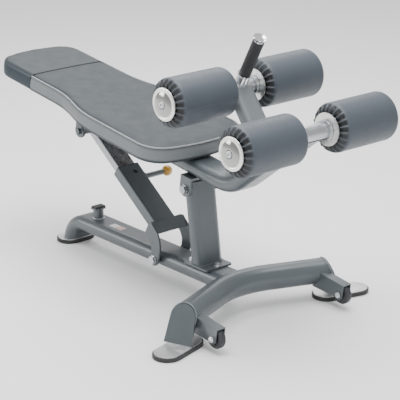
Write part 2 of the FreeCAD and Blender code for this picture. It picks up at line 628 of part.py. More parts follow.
def build_handle(post_outer):
    """Assist handle on top of the upper roller post."""
    def place(shape):
        return tilted(shape, UPPER_AXLE_X, UPPER_AXLE_Z, HANDLE_LEAN)

    bar_r = 12.5
    sleeve = cross_rod(SLEEVE_R, UPPER_AXLE_X, UPPER_AXLE_Z, -80, 80)
    bar = place(Part.makeCylinder(bar_r, GRIP_END, Vector(0, 0, 0), Z)).cut(sleeve)
    save("handle_bar", one(bar))

    flare = 21.5
    cup = Part.Wire([
        Part.makeLine(Vector(bar_r, 0, 0), Vector(GRIP_R + 1.5, 0, 0)),
        Part.makeLine(Vector(GRIP_R + 1.5, 0, 0), Vector(GRIP_R + 1.5, 0, GRIP_START - 8)),
        Part.Arc(Vector(GRIP_R + 1.5, 0, GRIP_START - 8), Vector(GRIP_R + 2, 0, GRIP_START - 3.5),
                 Vector(flare, 0, GRIP_START - 2)).toShape(),
        Part.makeLine(Vector(flare, 0, GRIP_START - 2), Vector(flare, 0, GRIP_START)),
        Part.makeLine(Vector(flare, 0, GRIP_START), Vector(bar_r, 0, GRIP_START)),
        Part.makeLine(Vector(bar_r, 0, GRIP_START), Vector(bar_r, 0, 0))])
    socket = place(Part.Face(cup).revolve(Vector(0, 0, 0), Z, 360)).cut(sleeve).cut(post_outer)
    save("handle_socket", one(socket))

    grip = Part.makeCylinder(GRIP_R, GRIP_END - GRIP_START, Vector(0, 0, GRIP_START), Z)
    grip = grip.makeFillet(2.5, [e for e in grip.Edges if e.Curve.TypeId == "Part::GeomCircle"])
    save("handle_grip", place(one(grip.cut(Part.makeCylinder(bar_r, GRIP_END + 5, Vector(0, 0, 0), Z)))))

    top = GRIP_END
    cap = Part.Wire([
        Part.makeLine(Vector(0, 0, top), Vector(GRIP_R - 3, 0, top)),
        Part.makeLine(Vector(GRIP_R - 3, 0, top), Vector(GRIP_R - 3, 0, top + 4)),
        Part.Arc(Vector(GRIP_R - 3, 0, top + 4), Vector(GRIP_R - 0.5, 0, top + 9),
                 Vector(flare, 0, top + 13)).toShape(),
        Part.makeLine(Vector(flare, 0, top + 13), Vector(flare - 1.5, 0, top + 14.5)),
        Part.makeLine(Vector(flare - 1.5, 0, top + 14.5), Vector(GRIP_R - 4, 0, top + 9)),
        Part.makeLine(Vector(GRIP_R - 4, 0, top + 9), Vector(0, 0, top + 8)),
        Part.makeLine(Vector(0, 0, top + 8), Vector(0, 0, top))])
    save("handle_end_cap", one(place(Part.Face(cap).revolve(Vector(0, 0, 0), Z, 360))))


# ---------------------------------------------------------------- leg rollers
def build_rollers():
    """Four foam rollers on aluminium spools that turn on the axle shafts, all the same way round."""
    core_r, disc_t = 17.0, 4.0
    rim_r, proud, wrap_r, gather_r = DISC_R + 0.5, 1.5, 16.0, 27.0
    wrap_mid, gather_mid = (r * (1 - math.sqrt(0.5)) for r in (wrap_r, gather_r))
    for level, x, z, inner_y in (("upper", UPPER_AXLE_X, UPPER_AXLE_Z, UPPER_INNER_Y),
                                 ("lower", LOWER_AXLE_X, LOWER_AXLE_Z, LOWER_INNER_Y)):
        for side in SIDES:
            near, far = 0.0, ROLLER_LONG
            spool = Part.Wire(Part.makePolygon([
                Vector(SHAFT_R + RUNNING, near, 0), Vector(DISC_R, near, 0), Vector(DISC_R, near + disc_t, 0),
                Vector(core_r, near + disc_t, 0), Vector(core_r, far - disc_t, 0),
                Vector(DISC_R, far - disc_t, 0), Vector(DISC_R, far - 1.5, 0), Vector(DISC_R - 4, far, 0),
                Vector(34, far, 0), Vector(30, far - 2, 0), Vector(SHAFT_R + RUNNING, far - 2, 0),
                Vector(SHAFT_R + RUNNING, near, 0)]))

            def at(r, y):
                return Vector(r, y if side < 0 else far - y, 0)

            back = far - disc_t
            foam = Part.Wire([
                Part.makeLine(at(core_r, disc_t), at(rim_r, disc_t)),
                Part.makeLine(at(rim_r, disc_t), at(rim_r, -proud)),
                Part.makeLine(at(rim_r, -proud), at(ROLLER_R - wrap_r, -proud)),
                Part.Arc(at(ROLLER_R - wrap_r, -proud), at(ROLLER_R - wrap_mid, wrap_mid - proud),
                         at(ROLLER_R, wrap_r - proud)).toShape(),
                Part.makeLine(at(ROLLER_R, wrap_r - proud), at(ROLLER_R, back - gather_r)),
                Part.Arc(at(ROLLER_R, back - gather_r), at(ROLLER_R - gather_mid, back - gather_mid),
                         at(ROLLER_R - gather_r, back)).toShape(),
                Part.makeLine(at(ROLLER_R - gather_r, back), at(core_r, back)),
                Part.makeLine(at(core_r, back), at(core_r, disc_t))])
            turn = FreeCAD.Rotation(Z, 0 if side > 0 else 180)
            name = "%s_roller_%s" % (level, "left" if side < 0 else "right")
            for part, profile in (("spool", spool), ("foam", foam)):
                shape = Part.Face(profile).revolve(Vector(0, 0, 0), Y, 360)
                if shape.Volume < 0:
                    shape.reverse()
                shape.Placement = FreeCAD.Placement(Vector(x, side * inner_y, z), turn)
                save("%s_%s" % (name, part), shape)


# ---------------------------------------------------------------- telescopic strut
def build_strut():
    """Outer tube on its yoke, inner tube up to the lug bracket, and the pull pin between them."""
    def tube(start, end, wide, deep, round_r):
        outer = box((start, end), (-wide / 2, wide / 2), (-deep / 2, deep / 2))
        edges = [e for e in outer.Edges if abs(e.tangentAt(e.FirstParameter).x) > 0.9]
        return outer.makeFillet(round_r, edges)

    def hollow(start, end, wide, deep, round_r, wall):
        core = tube(start - 1, end + 1, wide - 2 * wall, deep - 2 * wall, round_r - wall / 2)
        return tube(start, end, wide, deep, round_r).cut(core)

    pin_bore = 9.0
    outer = hollow(OUTER_START, OUTER_END, OUTER_WIDE, OUTER_DEEP, 5.0, WALL)
    outer = outer.cut(rod(pin_bore, Vector(PIN_AT, 20, 0), Vector(PIN_AT, 80, 0)))
    outer = outer.cut(rod(7.5, Vector(OUTER_START + 29, 9, 10), Vector(OUTER_START + 29, 9, 40)))
    save("strut_outer_tube", on_strut(one(outer)))

    guide_wide, guide_deep = OUTER_WIDE - 2 * WALL, OUTER_DEEP - 2 * WALL
    guide = tube(OUTER_START, OUTER_START + 32, guide_wide, guide_deep, 4.2)
    guide = guide.fuse(tube(OUTER_START - 3, OUTER_START, OUTER_WIDE - 1, OUTER_DEEP - 1, 4.5))
    guide = guide.cut(tube(OUTER_START - 20, OUTER_START + 60, INNER_WIDE + 2 * SLIDE_GAP,
                           INNER_DEEP + 2 * SLIDE_GAP, 4.0))
    save("strut_guide", on_strut(one(guide)))

    inner = hollow(0, INNER_END, INNER_WIDE, INNER_DEEP, 4.0, WALL)
    sleeve_r = 15.0
    inner = inner.cut(rod(sleeve_r, Vector(0, -80, 0), Vector(0, 80, 0)))
    inner = max(inner.Solids, key=lambda s: s.Volume)
    for i in range(PIN_HOLES):
        at = PIN_AT - i * PIN_HOLE_STEP
        inner = inner.cut(rod(6.3, Vector(at, 20, 0), Vector(at, 60, 0)))
    screws = []
    for at in (138.0, 156.0):
        hole = rod(3.0, Vector(at, 0, INNER_DEEP / 2 - WALL), Vector(at, 0, INNER_DEEP / 2))
        inner = inner.cut(hole)
        screws.append(on_strut(hole))
    save("strut_inner_tube", on_strut(one(inner)))
    save("strut_inner_screws", *screws)

    foot = tube(INNER_END, INNER_END + 8, guide_wide - 2 * SLIDE_GAP, guide_deep - 2 * SLIDE_GAP, 3.0)
    stub = tube(INNER_END - 14, INNER_END, INNER_WIDE - 2 * WALL, INNER_DEEP - 2 * WALL, 2.5)
    save("strut_inner_glide", on_strut(one(foot.fuse(stub))))

    half = LUG_IN - 1.5
    save("strut_top_sleeve", ring(sleeve_r, LUG_BOLT_R, Vector(LUG_X, -half, LUG_Z),
                                  Vector(LUG_X, half, LUG_Z)))
    save("strut_top_bolt", *pivot_bolt(LUG_X, LUG_Z, LUG_IN + BRACKET_T + 0.5, LUG_BOLT_R, 21.5))


def build_yoke():
    """Two cheeks that straddle the rail, a front web, and a shelf that carries the outer tube."""
    inside, outside = YOKE_IN, YOKE_IN + BRACKET_T
    px, pz, r = STRUT_PIVOT_X, STRUT_PIVOT_Z, 22.0
    profile = Part.Wire([
        Part.Arc(Vector(px - r, 0, pz + 3), Vector(px - 11, 0, pz + 38), Vector(px - 29, 0, pz + 70)).toShape(),
        Part.makeLine(Vector(px - 29, 0, pz + 70), Vector(px - 40, 0, pz + 84)),
        Part.makeLine(Vector(px - 40, 0, pz + 84), Vector(px - 22, 0, pz + 118)),
        Part.makeLine(Vector(px - 22, 0, pz + 118), Vector(px - 9, 0, pz + 119)),
        Part.makeLine(Vector(px - 9, 0, pz + 119), Vector(px + 20, 0, pz + 92)),
        Part.Arc(Vector(px + 20, 0, pz + 92), Vector(px + 31, 0, pz + 56), Vector(px + r, 0, pz + 3)).toShape(),
        Part.Arc(Vector(px + r, 0, pz + 3), Vector(px, 0, pz - r + 2), Vector(px - r, 0, pz + 3)).toShape()])
    yoke = None
    for low in (-outside, inside):
        cheek = plate_y(profile, low, low + BRACKET_T)
        yoke = cheek if yoke is None else yoke.fuse(cheek)
    web_tilt = math.radians(47.0)
    web = box((0, 38), (-outside, outside), (-BRACKET_T, 0))
    web = tilted(web, px - 9, pz + 119, web_tilt)
    shelf = on_strut(box((OUTER_END, OUTER_END + BRACKET_T), (-inside, inside),
                         (-OUTER_DEEP / 2 - 2, OUTER_DEEP / 2 + 4)))
    yoke = yoke.fuse(web).fuse(shelf)
    yoke = yoke.cut(cross_rod(PIVOT_R, px, pz, -100, 100))
    yoke = yoke.cut(on_strut(box((OUTER_START, OUTER_END), (-OUTER_WIDE / 2, OUTER_WIDE / 2),
                                 (-OUTER_DEEP / 2, OUTER_DEEP / 2))))
    save("strut_yoke", one(yoke))
    save("strut_pivot_bolt", *pivot_bolt(px, pz, outside, PIVOT_R, 14.0))


def build_pull_pin():
    """Spring pin on the strut's +Y side: threaded housing, plunger and ball knob."""
    face = OUTER_WIDE / 2
    housing_end = face + 78.0
    housing = rod(9.0, Vector(PIN_AT, face - WALL, 0), Vector(PIN_AT, housing_end, 0))
    housing = housing.fuse(hexagon(24.0, Vector(PIN_AT, face, 0), Y, 7))
    spring_room = rod(6.6, Vector(PIN_AT, face + 4, 0), Vector(PIN_AT, housing_end - 5, 0))
    bore = rod(5.0 + RUNNING, Vector(PIN_AT, 0, 0), Vector(PIN_AT, 200, 0))
    save("pin_housing", on_strut(one(housing.cut(spring_room).cut(bore))))

    nose = INNER_WIDE / 2 + 0.6
    rod_end = housing_end + 15.0
    plunger = rod(5.0, Vector(PIN_AT, nose, 0), Vector(PIN_AT, rod_end, 0))
    collar = rod(6.3, Vector(PIN_AT, face + 4.5, 0), Vector(PIN_AT, face + 8.5, 0))
    save("pin_plunger", on_strut(one(plunger.fuse(collar))))

    knob_r = 18.0
    centre = Vector(PIN_AT, housing_end + 3.0 + knob_r, 0)
    knob = Part.makeSphere(knob_r, centre)
    flat = housing_end + 5.0
    knob = knob.cut(box((PIN_AT - 40, PIN_AT + 40), (flat - 40, flat), (-40, 40)))
    save("pin_knob", on_strut(one(knob.cut(plunger))))

    turns, wire_r, coil_r = 9, 0.65, 5.8
    start, end = face + 9.5, housing_end - 6.0
    helix = Part.makeHelix((end - start) / turns, end - start, coil_r)
    section = Part.Wire(Part.makeCircle(wire_r, Vector(coil_r, 0, 0), Y))
    spring = Part.Wire(helix.Edges).makePipeShell([section], True, True)
    spring.Placement = FreeCAD.Placement(Vector(PIN_AT, start, 0), FreeCAD.Rotation(X, -90))
    save("pin_spring", on_strut(spring))


# ---------------------------------------------------------------- build
boxes, volumes = [], {}
os.makedirs("parts", exist_ok=True)
cross_solid = build_rail_and_cross_tube()
build_feet()
build_post()
build_stop()
build_label()
build_wheels(cross_solid)
build_pad()
post_solid = build_seat_frame()
build_brackets()
build_handle(post_solid)
build_rollers()
build_strut()
build_yoke()
build_pull_pin()

whole_box = FreeCAD.BoundBox()
for one_box in boxes:
    whole_box.add(one_box)
print("nodes", len(volumes), "box", whole_box)
for node, (count, volume) in sorted(volumes.items()):
    print("%-26s %2d solids %10.0f mm3" % (node, count, volume))
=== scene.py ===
"""Looks of the decline sit-up bench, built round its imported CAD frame, in metres, +Z up."""
import math
import random

import bmesh
import bpy
import numpy as np
from mathutils import Matrix, Vector


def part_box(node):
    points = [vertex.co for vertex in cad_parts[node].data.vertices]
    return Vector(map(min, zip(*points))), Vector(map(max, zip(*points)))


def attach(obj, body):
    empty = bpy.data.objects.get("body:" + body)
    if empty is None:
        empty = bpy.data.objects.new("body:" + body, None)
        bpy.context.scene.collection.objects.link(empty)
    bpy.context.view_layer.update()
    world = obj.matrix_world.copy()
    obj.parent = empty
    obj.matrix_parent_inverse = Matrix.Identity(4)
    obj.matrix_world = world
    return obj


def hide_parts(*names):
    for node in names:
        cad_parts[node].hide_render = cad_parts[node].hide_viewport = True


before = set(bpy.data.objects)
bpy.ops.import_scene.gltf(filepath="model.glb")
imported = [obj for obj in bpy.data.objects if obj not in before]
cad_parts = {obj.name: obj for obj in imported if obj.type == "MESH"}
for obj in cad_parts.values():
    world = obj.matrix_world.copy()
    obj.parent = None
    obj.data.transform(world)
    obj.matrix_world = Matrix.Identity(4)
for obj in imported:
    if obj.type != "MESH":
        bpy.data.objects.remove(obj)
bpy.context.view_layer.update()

mm = 0.001

# ---------------------------------------------------------------- driving sizes
PAD_FRONT_X, PAD_FRONT_Z = 0.2068, 0.5059       # top of the pad's front edge
PAD_ANGLE = math.radians(7.32)
PAD_LONG, PAD_THICK = 0.927, 0.0546
PAD_HALF_WIDE, PAD_HALF_NARROW = 0.193, 0.148
PAD_WIDE_END, PAD_NARROW_START = 0.320, 0.585   # along the pad, from its front edge
HEAD_SEAM = 0.714                               # from the front edge to the head cover's hem
FRONT_CORNER, HEAD_CORNER, EDGE_CROWN = 0.084, 0.066, 0.012
SPACING = 7 * mm                                # mesh spacing along the pad's outline
SPINE_HEAD, SPINE_FRONT = -0.80, -0.15          # the middle line that the pad's rings close in on
PINCH = 0.97                                    # how much of the way there the simulated rings go
PRESSURE, CLOTH_FRAMES = 4.0, 20
CUSHION_CAP, COVER_CAP = 1.8 * mm, 1.6 * mm     # most that the cloth may move
ROLLER_R, DISC_R, BORE_R = 73.0 * mm, 48.6 * mm, 17.6 * mm
WRAP_R, GATHER_R = 16 * mm, 27 * mm             # edge rounding of a roller's two ends
PLEATS, PLEAT_DEPTH = 21, 4.2 * mm
CAP_DOME_R = 37.4 * mm
SEAM_ANGLES = {"upper_left": -5, "upper_right": 140, "lower_left": 215, "lower_right": 250}
FIRST_SEED = 11
HANDLE_LEAN = math.radians(28.5)
RAIL_TOP, POST_PLATE_TOP = 0.110, 0.116
POST_FOOT_X, STOP_X, STOP_WELD_R = 0.2095, -0.3465, 18.3 * mm
TUBE_WIDE, TUBE_DEEP = 0.104, 0.050
RAIL_Z, CROSS_R, CROSS_CORNER_X, CROSS_END_Y = 0.085, 0.040, 0.3305, 0.293
CROSS_SWEEP, END_PLATE_LEAN = math.radians(21.3), math.radians(22.0)

FLOOR_HALF, FLOOR_Z = 40.0, -0.5 * mm

CAMERA_AT = (3.6722, -2.992, 1.888)
CAMERA_AZIMUTH, CAMERA_DOWN, CAMERA_LENS = 49.4407, 18.9412, 142.38

# a lighter copy of the frame paint: painted light on the roller post and painted highlight on the end plate
# beads
PAINTED_LIGHT_PAINT = (0.150, 0.168, 0.180)              # roller post and end beads

PAD_PLACE = Matrix.Translation((PAD_FRONT_X, 0, PAD_FRONT_Z)) @ Matrix.Rotation(PAD_ANGLE, 4, "Y")


# ---------------------------------------------------------------- materials
class Surface:
    """A material's shader, with the few kinds of node that the looks below are wired from."""

    def __init__(self, name, color, rough, metal=0.0, **shader_values):
        self.mat = bpy.data.materials.new(name)
        self.mat.use_nodes = True
        self.tree = self.mat.node_tree
        self.shader = self.tree.nodes["Principled BSDF"]
        self.shader.inputs["Base Color"].default_value = (*color, 1)
        self.shader.inputs["Roughness"].default_value = rough
        self.shader.inputs["Metallic"].default_value = metal
        for key, value in shader_values.items():
            self.shader.inputs[key.replace("_", " ")].default_value = value
        self.coords = self.node("ShaderNodeTexCoord").outputs["Object"]
        self.color = color

    def node(self, kind, **settings):
        made = self.tree.nodes.new(kind)
        for key, value in settings.items():
            setattr(made, key, value)
        return made

    def feed(self, node, socket, value):
        target = node.inputs[socket]
        if isinstance(value, bpy.types.NodeSocket):
            self.tree.links.new(value, target)
        else:
            target.default_value = value

    def stretched(self, scale):
        made = self.node("ShaderNodeMapping")
        self.feed(made, "Vector", self.coords)
        made.inputs["Scale"].default_value = scale
        return made.outputs["Vector"]

    def noise(self, scale, detail=3.0, stretch=(1, 1, 1)):
        made = self.node("ShaderNodeTexNoise")
        self.feed(made, "Vector", self.stretched(stretch))
        made.inputs["Scale"].default_value = scale
        made.inputs["Detail"].default_value = detail
        return made.outputs["Fac"]

    def cells(self, scale):
        made = self.node("ShaderNodeTexVoronoi", feature="F1")
        self.feed(made, "Vector", self.stretched((1, 1, 1)))
        made.inputs["Scale"].default_value = scale
        return made.outputs["Distance"]

    def attribute(self, name):
        return self.node("ShaderNodeAttribute", attribute_name=name).outputs["Fac"]

    def math(self, operation, a, b=0.0):
        made = self.node("ShaderNodeMath", operation=operation)
        self.feed(made, 0, a)
        self.feed(made, 1, b)
        return made.outputs["Value"]

    def ranged(self, value, low, high, to_low, to_high):
        made = self.node("ShaderNodeMapRange")
        for socket, item in zip(("Value", "From Min", "From Max", "To Min", "To Max"),
                                (value, low, high, to_low, to_high)):
            self.feed(made, socket, item)
        return made.outputs["Result"]

    def mixed(self, factor, first, second):
        made = self.node("ShaderNodeMix", data_type="RGBA")
        self.feed(made, 0, factor)
        for socket, item in ((6, first), (7, second)):
            self.feed(made, socket, (*item, 1) if isinstance(item, tuple) else item)
        return made.outputs[2]

    def tinted(self, factor, spread):
        """The base colour, darker and lighter by spread along a factor from 0 to 1."""
        dark = tuple(c * (1 - spread) for c in self.color)
        light = tuple(min(1.0, c * (1 + spread)) for c in self.color)
        return self.mixed(factor, dark, light)

    def paint(self, color=None, rough=None):
        if color is not None:
            self.feed(self.shader, "Base Color", color)
        if rough is not None:
            self.feed(self.shader, "Roughness", rough)
        return self

    def bumped(self, height, depth, strength=1.0):
        """Relief of that depth in metres."""
        made = self.node("ShaderNodeBump")
        self.feed(made, "Height", height)
        made.inputs["Strength"].default_value = strength
        made.inputs["Distance"].default_value = depth
        self.feed(self.shader, "Normal", made.outputs["Normal"])
        return self


def frame_paint(name="frame_paint", color=(0.074, 0.088, 0.098)):
    """Blue-grey powder coat: fine orange peel and small tone changes under a satin coat."""
    s = Surface(name, color, 0.40, 0.30, Coat_Weight=0.45, Coat_Roughness=0.24)
    cloudy = s.noise(9, 4)
    tone = s.math("ADD", s.math("MULTIPLY", cloudy, 0.8), s.math("MULTIPLY", s.noise(160, 2), 0.3))
    s.paint(s.tinted(tone, 0.14), s.ranged(s.noise(40, 5), 0.3, 0.7, 0.37, 0.48))
    return s.bumped(s.noise(420, 2), 0.00008, 0.3).mat


def vinyl(name, color, rough, painted_side_shading=None):
    """Upholstery vinyl with a pebbled grain, painted shade near black in its creases, and painted light and
    shade on its side: a lighter side colour on the seat cushion, and a darker one on the head cover, partly
    its own darker vinyl.
    """
    s = Surface(name, color, rough, 0.0, Coat_Weight=0.03, Coat_Roughness=0.30, Specular_IOR_Level=0.22,
                Sheen_Weight=0.02)
    pebbles = s.cells(620.0)
    mottled = s.math("ADD", s.math("MULTIPLY", s.noise(6, 5), 0.65), s.math("MULTIPLY", pebbles, 0.35))
    tone = s.tinted(mottled, 0.05)
    # painted light and shade: the side gets its own colour, painted lighter on the seat cushion and darker on
    # the head cover
    if painted_side_shading is not None:
        tone = s.mixed(s.attribute("painted_side_shading"), tone, painted_side_shading)
    # painted shade: near black where the mesh marks grooves, lower edges and the hem, where shade falls
    tone = s.mixed(s.attribute("painted_crease_shade"), tone, (0.008, 0.009, 0.010))
    s.paint(tone, s.ranged(s.noise(25, 5), 0.3, 0.7, rough - 0.05, rough + 0.06))
    height = s.math("ADD", pebbles, s.math("MULTIPLY", s.noise(1500, 2), 0.3))
    return s.bumped(height, 0.00016, 0.5).mat


def roller_vinyl():
    """Smooth stretched vinyl, with painted shade near black down in its gathered folds."""
    s = Surface("roller_vinyl", (0.052, 0.063, 0.077), 0.44, 0.0, Coat_Weight=0.08, Coat_Roughness=0.34,
                Specular_IOR_Level=0.34, Sheen_Weight=0.02)
    tone = s.tinted(s.noise(14, 5), 0.08)
    # painted shade: near black down in the gathered folds
    tone = s.mixed(s.attribute("fold_and_painted_shade"), tone, (0.006, 0.007, 0.008))
    s.paint(tone, s.ranged(s.noise(60, 4), 0.3, 0.7, 0.42, 0.54))
    height = s.math("ADD", s.noise(900, 3), s.math("MULTIPLY", s.cells(500), 0.5))
    return s.bumped(height, 0.00012, 0.4).mat


def turned_metal(name, color, rough, centre, dome=None, relief=0.00005):
    """Turned metal: fine rings round an axis across the bench, smoother inside a dome's radius and painted
    darker there as a painted dark reflection.
    """
    ring_pitch, dome_edge = 0.0009, 0.0005
    s = Surface(name, color, rough, 1.0)
    shifted = s.node("ShaderNodeVectorMath", operation="SUBTRACT")
    s.feed(shifted, 0, s.coords)
    shifted.inputs[1].default_value = centre
    flat = s.node("ShaderNodeVectorMath", operation="MULTIPLY")
    s.feed(flat, 0, shifted.outputs[0])
    flat.inputs[1].default_value = (1, 0, 1)
    radius = s.node("ShaderNodeVectorMath", operation="LENGTH")
    s.feed(radius, 0, flat.outputs[0])
    rings = s.math("SINE", s.math("MULTIPLY", radius.outputs["Value"], 2 * math.pi / ring_pitch))
    gloss = s.ranged(rings, -1, 1, rough * 0.8, rough * 1.25)
    tone = s.tinted(s.noise(30, 4), 0.06)
    if dome is not None:
        outside = s.ranged(radius.outputs["Value"], dome - dome_edge, dome, 0.0, 1.0)
        gloss = s.math("MULTIPLY", gloss, s.ranged(outside, 0, 1, 0.25, 1.0))
        # painted reflection: inside the dome the colour is painted darker, standing in for the dome's dark
        # mirror reflection
        tone = s.mixed(outside, (0.36, 0.355, 0.35), tone)
    s.paint(tone, gloss)
    return s.bumped(rings, relief, 0.35).mat


def plain_metal(name, color, rough, scratch=260.0, spread=0.08):
    """Plated or polished metal with a light handling haze."""
    s = Surface(name, color, rough, 1.0)
    haze = s.noise(35, 6)
    s.paint(s.tinted(haze, spread), s.ranged(haze, 0.3, 0.7, rough * 0.75, rough * 1.35))
    return s.bumped(s.noise(scratch, 4, (1, 1, 6)), 0.00004, 0.3).mat


def rubber(name, color, rough, grain):
    """Moulded rubber or plastic with a fine even grain and dusty lighter patches."""
    s = Surface(name, color, rough)
    s.paint(s.tinted(s.noise(22, 6), 0.35), s.ranged(s.noise(90, 3), 0.3, 0.7, rough - 0.08, rough + 0.08))
    return s.bumped(s.cells(grain), 0.0002, 0.45).mat


def grip_rubber():
    """Ribbed soft grip: fine rings along the leaning bar, painted lighter on the rib crests and darker in the
    grooves.
    """
    rib_pitch = 0.0048
    s = Surface("grip_rubber", (0.016, 0.016, 0.018), 0.55)
    along = s.node("ShaderNodeVectorMath", operation="DOT_PRODUCT")
    s.feed(along, 0, s.coords)
    along.inputs[1].default_value = (math.sin(HANDLE_LEAN), 0, math.cos(HANDLE_LEAN))
    rings = s.math("SINE", s.math("MULTIPLY", along.outputs["Value"], 2 * math.pi / rib_pitch))
    # painted shade and highlight: the colour follows the ribs, lighter on their crests and darker in their
    # grooves
    s.paint(s.tinted(s.ranged(rings, -1, 1, 0.2, 0.9), 0.5), s.ranged(s.noise(140, 3), 0.3, 0.7, 0.48, 0.64))
    return s.bumped(s.math("ADD", rings, s.cells(900)), 0.0006, 0.7).mat


def stained_board():
    """Black-stained plywood with a long grain."""
    s = Surface("stained_board", (0.028, 0.025, 0.023), 0.6)
    grain = s.noise(30, 6, (1, 12, 12))
    s.paint(s.tinted(grain, 0.45), s.ranged(grain, 0.3, 0.7, 0.5, 0.7))
    return s.bumped(grain, 0.0003, 0.4).mat


def ball_plastic():
    """Glossy amber moulded ball."""
    s = Surface("amber_ball", (0.62, 0.33, 0.045), 0.22, 0.0, Coat_Weight=0.8, Coat_Roughness=0.06)
    s.paint(s.tinted(s.noise(50, 3), 0.12), s.ranged(s.noise(120, 3), 0.3, 0.7, 0.18, 0.28))
    return s.bumped(s.noise(300, 2), 0.00008, 0.2).mat


def label_film():
    """Blank printed film: a warm block beside an off-white one."""
    s = Surface("label_film", (0.72, 0.72, 0.72), 0.4, 0.0, Coat_Weight=0.3)
    split = s.node("ShaderNodeSeparateXYZ")
    s.feed(split, 0, s.coords)
    low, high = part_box("rail_label")
    middle = (low.x + high.x) / 2
    half = s.ranged(split.outputs["X"], middle - 1 * mm, middle + 1 * mm, 0.0, 1.0)
    tone = s.mixed(half, (0.74, 0.74, 0.73), (0.62, 0.42, 0.36))
    s.paint(tone, s.ranged(s.noise(80, 3), 0.3, 0.7, 0.35, 0.5))
    return s.bumped(s.noise(400, 2), 0.00005, 0.2).mat


def dress(material, *nodes):
    """Give CAD nodes a finished material."""
    for name in nodes:
        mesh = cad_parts[name].data
        mesh.materials.clear()
        mesh.materials.append(material)


# ---------------------------------------------------------------- mesh helpers
def surface_object(name, rows, material, close_rows=False, cap_first=False, cap_last=False, shade=None):
    """Quads over an array of points [row, column, xyz], each row a closed loop."""
    rows = np.asarray(rows, float)
    count, width = rows.shape[:2]
    faces = []
    for i in range(count if close_rows else count - 1):
        for j in range(width):
            k, below = (j + 1) % width, (i + 1) % count
            faces.append((i * width + j, i * width + k, below * width + k, below * width + j))
    if cap_first:
        faces.append(tuple(range(width))[::-1])
    if cap_last:
        faces.append(tuple((count - 1) * width + j for j in range(width)))
    return mesh_object(name, rows.reshape(-1, 3), faces, material, shade=shade)


def mesh_object(name, points, faces, material, merge=1e-6, shade=None):
    """A smooth mesh, with an optional (attribute name, value at each point)."""
    mesh = bpy.data.meshes.new(name)
    mesh.from_pydata([tuple(p) for p in points], [], faces)
    bm = bmesh.new()
    bm.from_mesh(mesh)
    if shade is not None:
        layer = bm.verts.layers.float.new(shade[0])
        for vert, value in zip(bm.verts, np.asarray(shade[1], float).reshape(-1)):
            vert[layer] = value
    bmesh.ops.remove_doubles(bm, verts=bm.verts, dist=merge)
    bmesh.ops.recalc_face_normals(bm, faces=bm.faces)
    for face in bm.faces:
        face.smooth = True
    bm.to_mesh(mesh)
    bm.free()
    made = bpy.data.objects.new(name, mesh)
    bpy.context.scene.collection.objects.link(made)
    mesh.materials.append(material)
    return made


def tube_object(name, path, radius, material, closed=False, sides=10):
    """A round bead along a path. The radius is one number, or one for each point."""
    path = np.asarray(path, float)
    count = len(path)
    radii = np.full(count, radius) if np.isscalar(radius) else np.asarray(radius, float)
    if closed:
        tangents = np.roll(path, -1, 0) - np.roll(path, 1, 0)
    else:
        tangents = np.gradient(path, axis=0)
    tangents /= np.linalg.norm(tangents, axis=1)[:, None]
    side = np.cross(tangents[0], (0.31, 0.17, 0.93))
    rows = []
    for point, tangent, r in zip(path, tangents, radii):
        side = side - tangent * side.dot(tangent)
        side /= np.linalg.norm(side)
        other = np.cross(tangent, side)
        turns = np.linspace(0, 2 * math.pi, sides, endpoint=False)
        rows.append(point + r * (np.outer(np.cos(turns), side) + np.outer(np.sin(turns), other)))
    return surface_object(name, rows, material, close_rows=closed, cap_first=not closed, cap_last=not closed)


def lathe_object(name, profile, centre, out, material, steps=96):
    """A turned piece: a closed loop of (radius, distance) round an axis across the bench, out = +1 or -1."""
    turns = np.linspace(0, 2 * math.pi, steps, endpoint=False)
    rows = [[(centre[0] + r * math.cos(a), centre[1] + out * y, centre[2] + r * math.sin(a)) for a in turns]
            for r, y in profile]
    return surface_object(name, rows, material, close_rows=True)


def arc(centre, radius, start, end, steps=24):
    """Points on a circle in plan, degrees, both ends included."""
    angles = np.radians(np.linspace(start, end, steps))
    return np.column_stack((centre[0] + radius * np.cos(angles), centre[1] + radius * np.sin(angles)))


def shallow_arc(start, top, steps=24):
    """Half of a shallow arc, from the middle line at top to start at its side."""
    rise = abs(top[0] - start[0])
    radius = (start[1] ** 2 + rise ** 2) / (2 * rise)
    sign = 1 if top[0] > start[0] else -1
    y = np.linspace(0, start[1], steps)
    return np.column_stack((top[0] - sign * (radius - np.sqrt(radius ** 2 - y ** 2)), y))


def bezier(start, pull_a, pull_b, end, steps=60):
    t = np.linspace(0, 1, steps)[:, None]
    a, b, c, d = (np.asarray(p, float) for p in (start, pull_a, pull_b, end))
    return (1 - t) ** 3 * a + 3 * (1 - t) ** 2 * t * b + 3 * (1 - t) * t ** 2 * c + t ** 3 * d


def even_loop(points, spacing):
    """A closed loop resampled at even steps and softened a little, with its outward normals."""
    closed = np.vstack((points, points[:1]))
    along = np.concatenate(([0], np.cumsum(np.linalg.norm(np.diff(closed, axis=0), axis=1))))
    count = int(along[-1] / spacing)
    at = np.linspace(0, along[-1], count, endpoint=False)
    loop = np.column_stack([np.interp(at, along, closed[:, k]) for k in (0, 1)])
    for _ in range(3):
        loop = (np.roll(loop, 1, 0) + 2 * loop + np.roll(loop, -1, 0)) / 4
    tangent = np.roll(loop, -1, 0) - np.roll(loop, 1, 0)
    tangent /= np.linalg.norm(tangent, axis=1)[:, None]
    normal = np.column_stack((tangent[:, 1], -tangent[:, 0]))
    if np.sum(normal * loop) < 0:
        normal = -normal
    return loop, normal


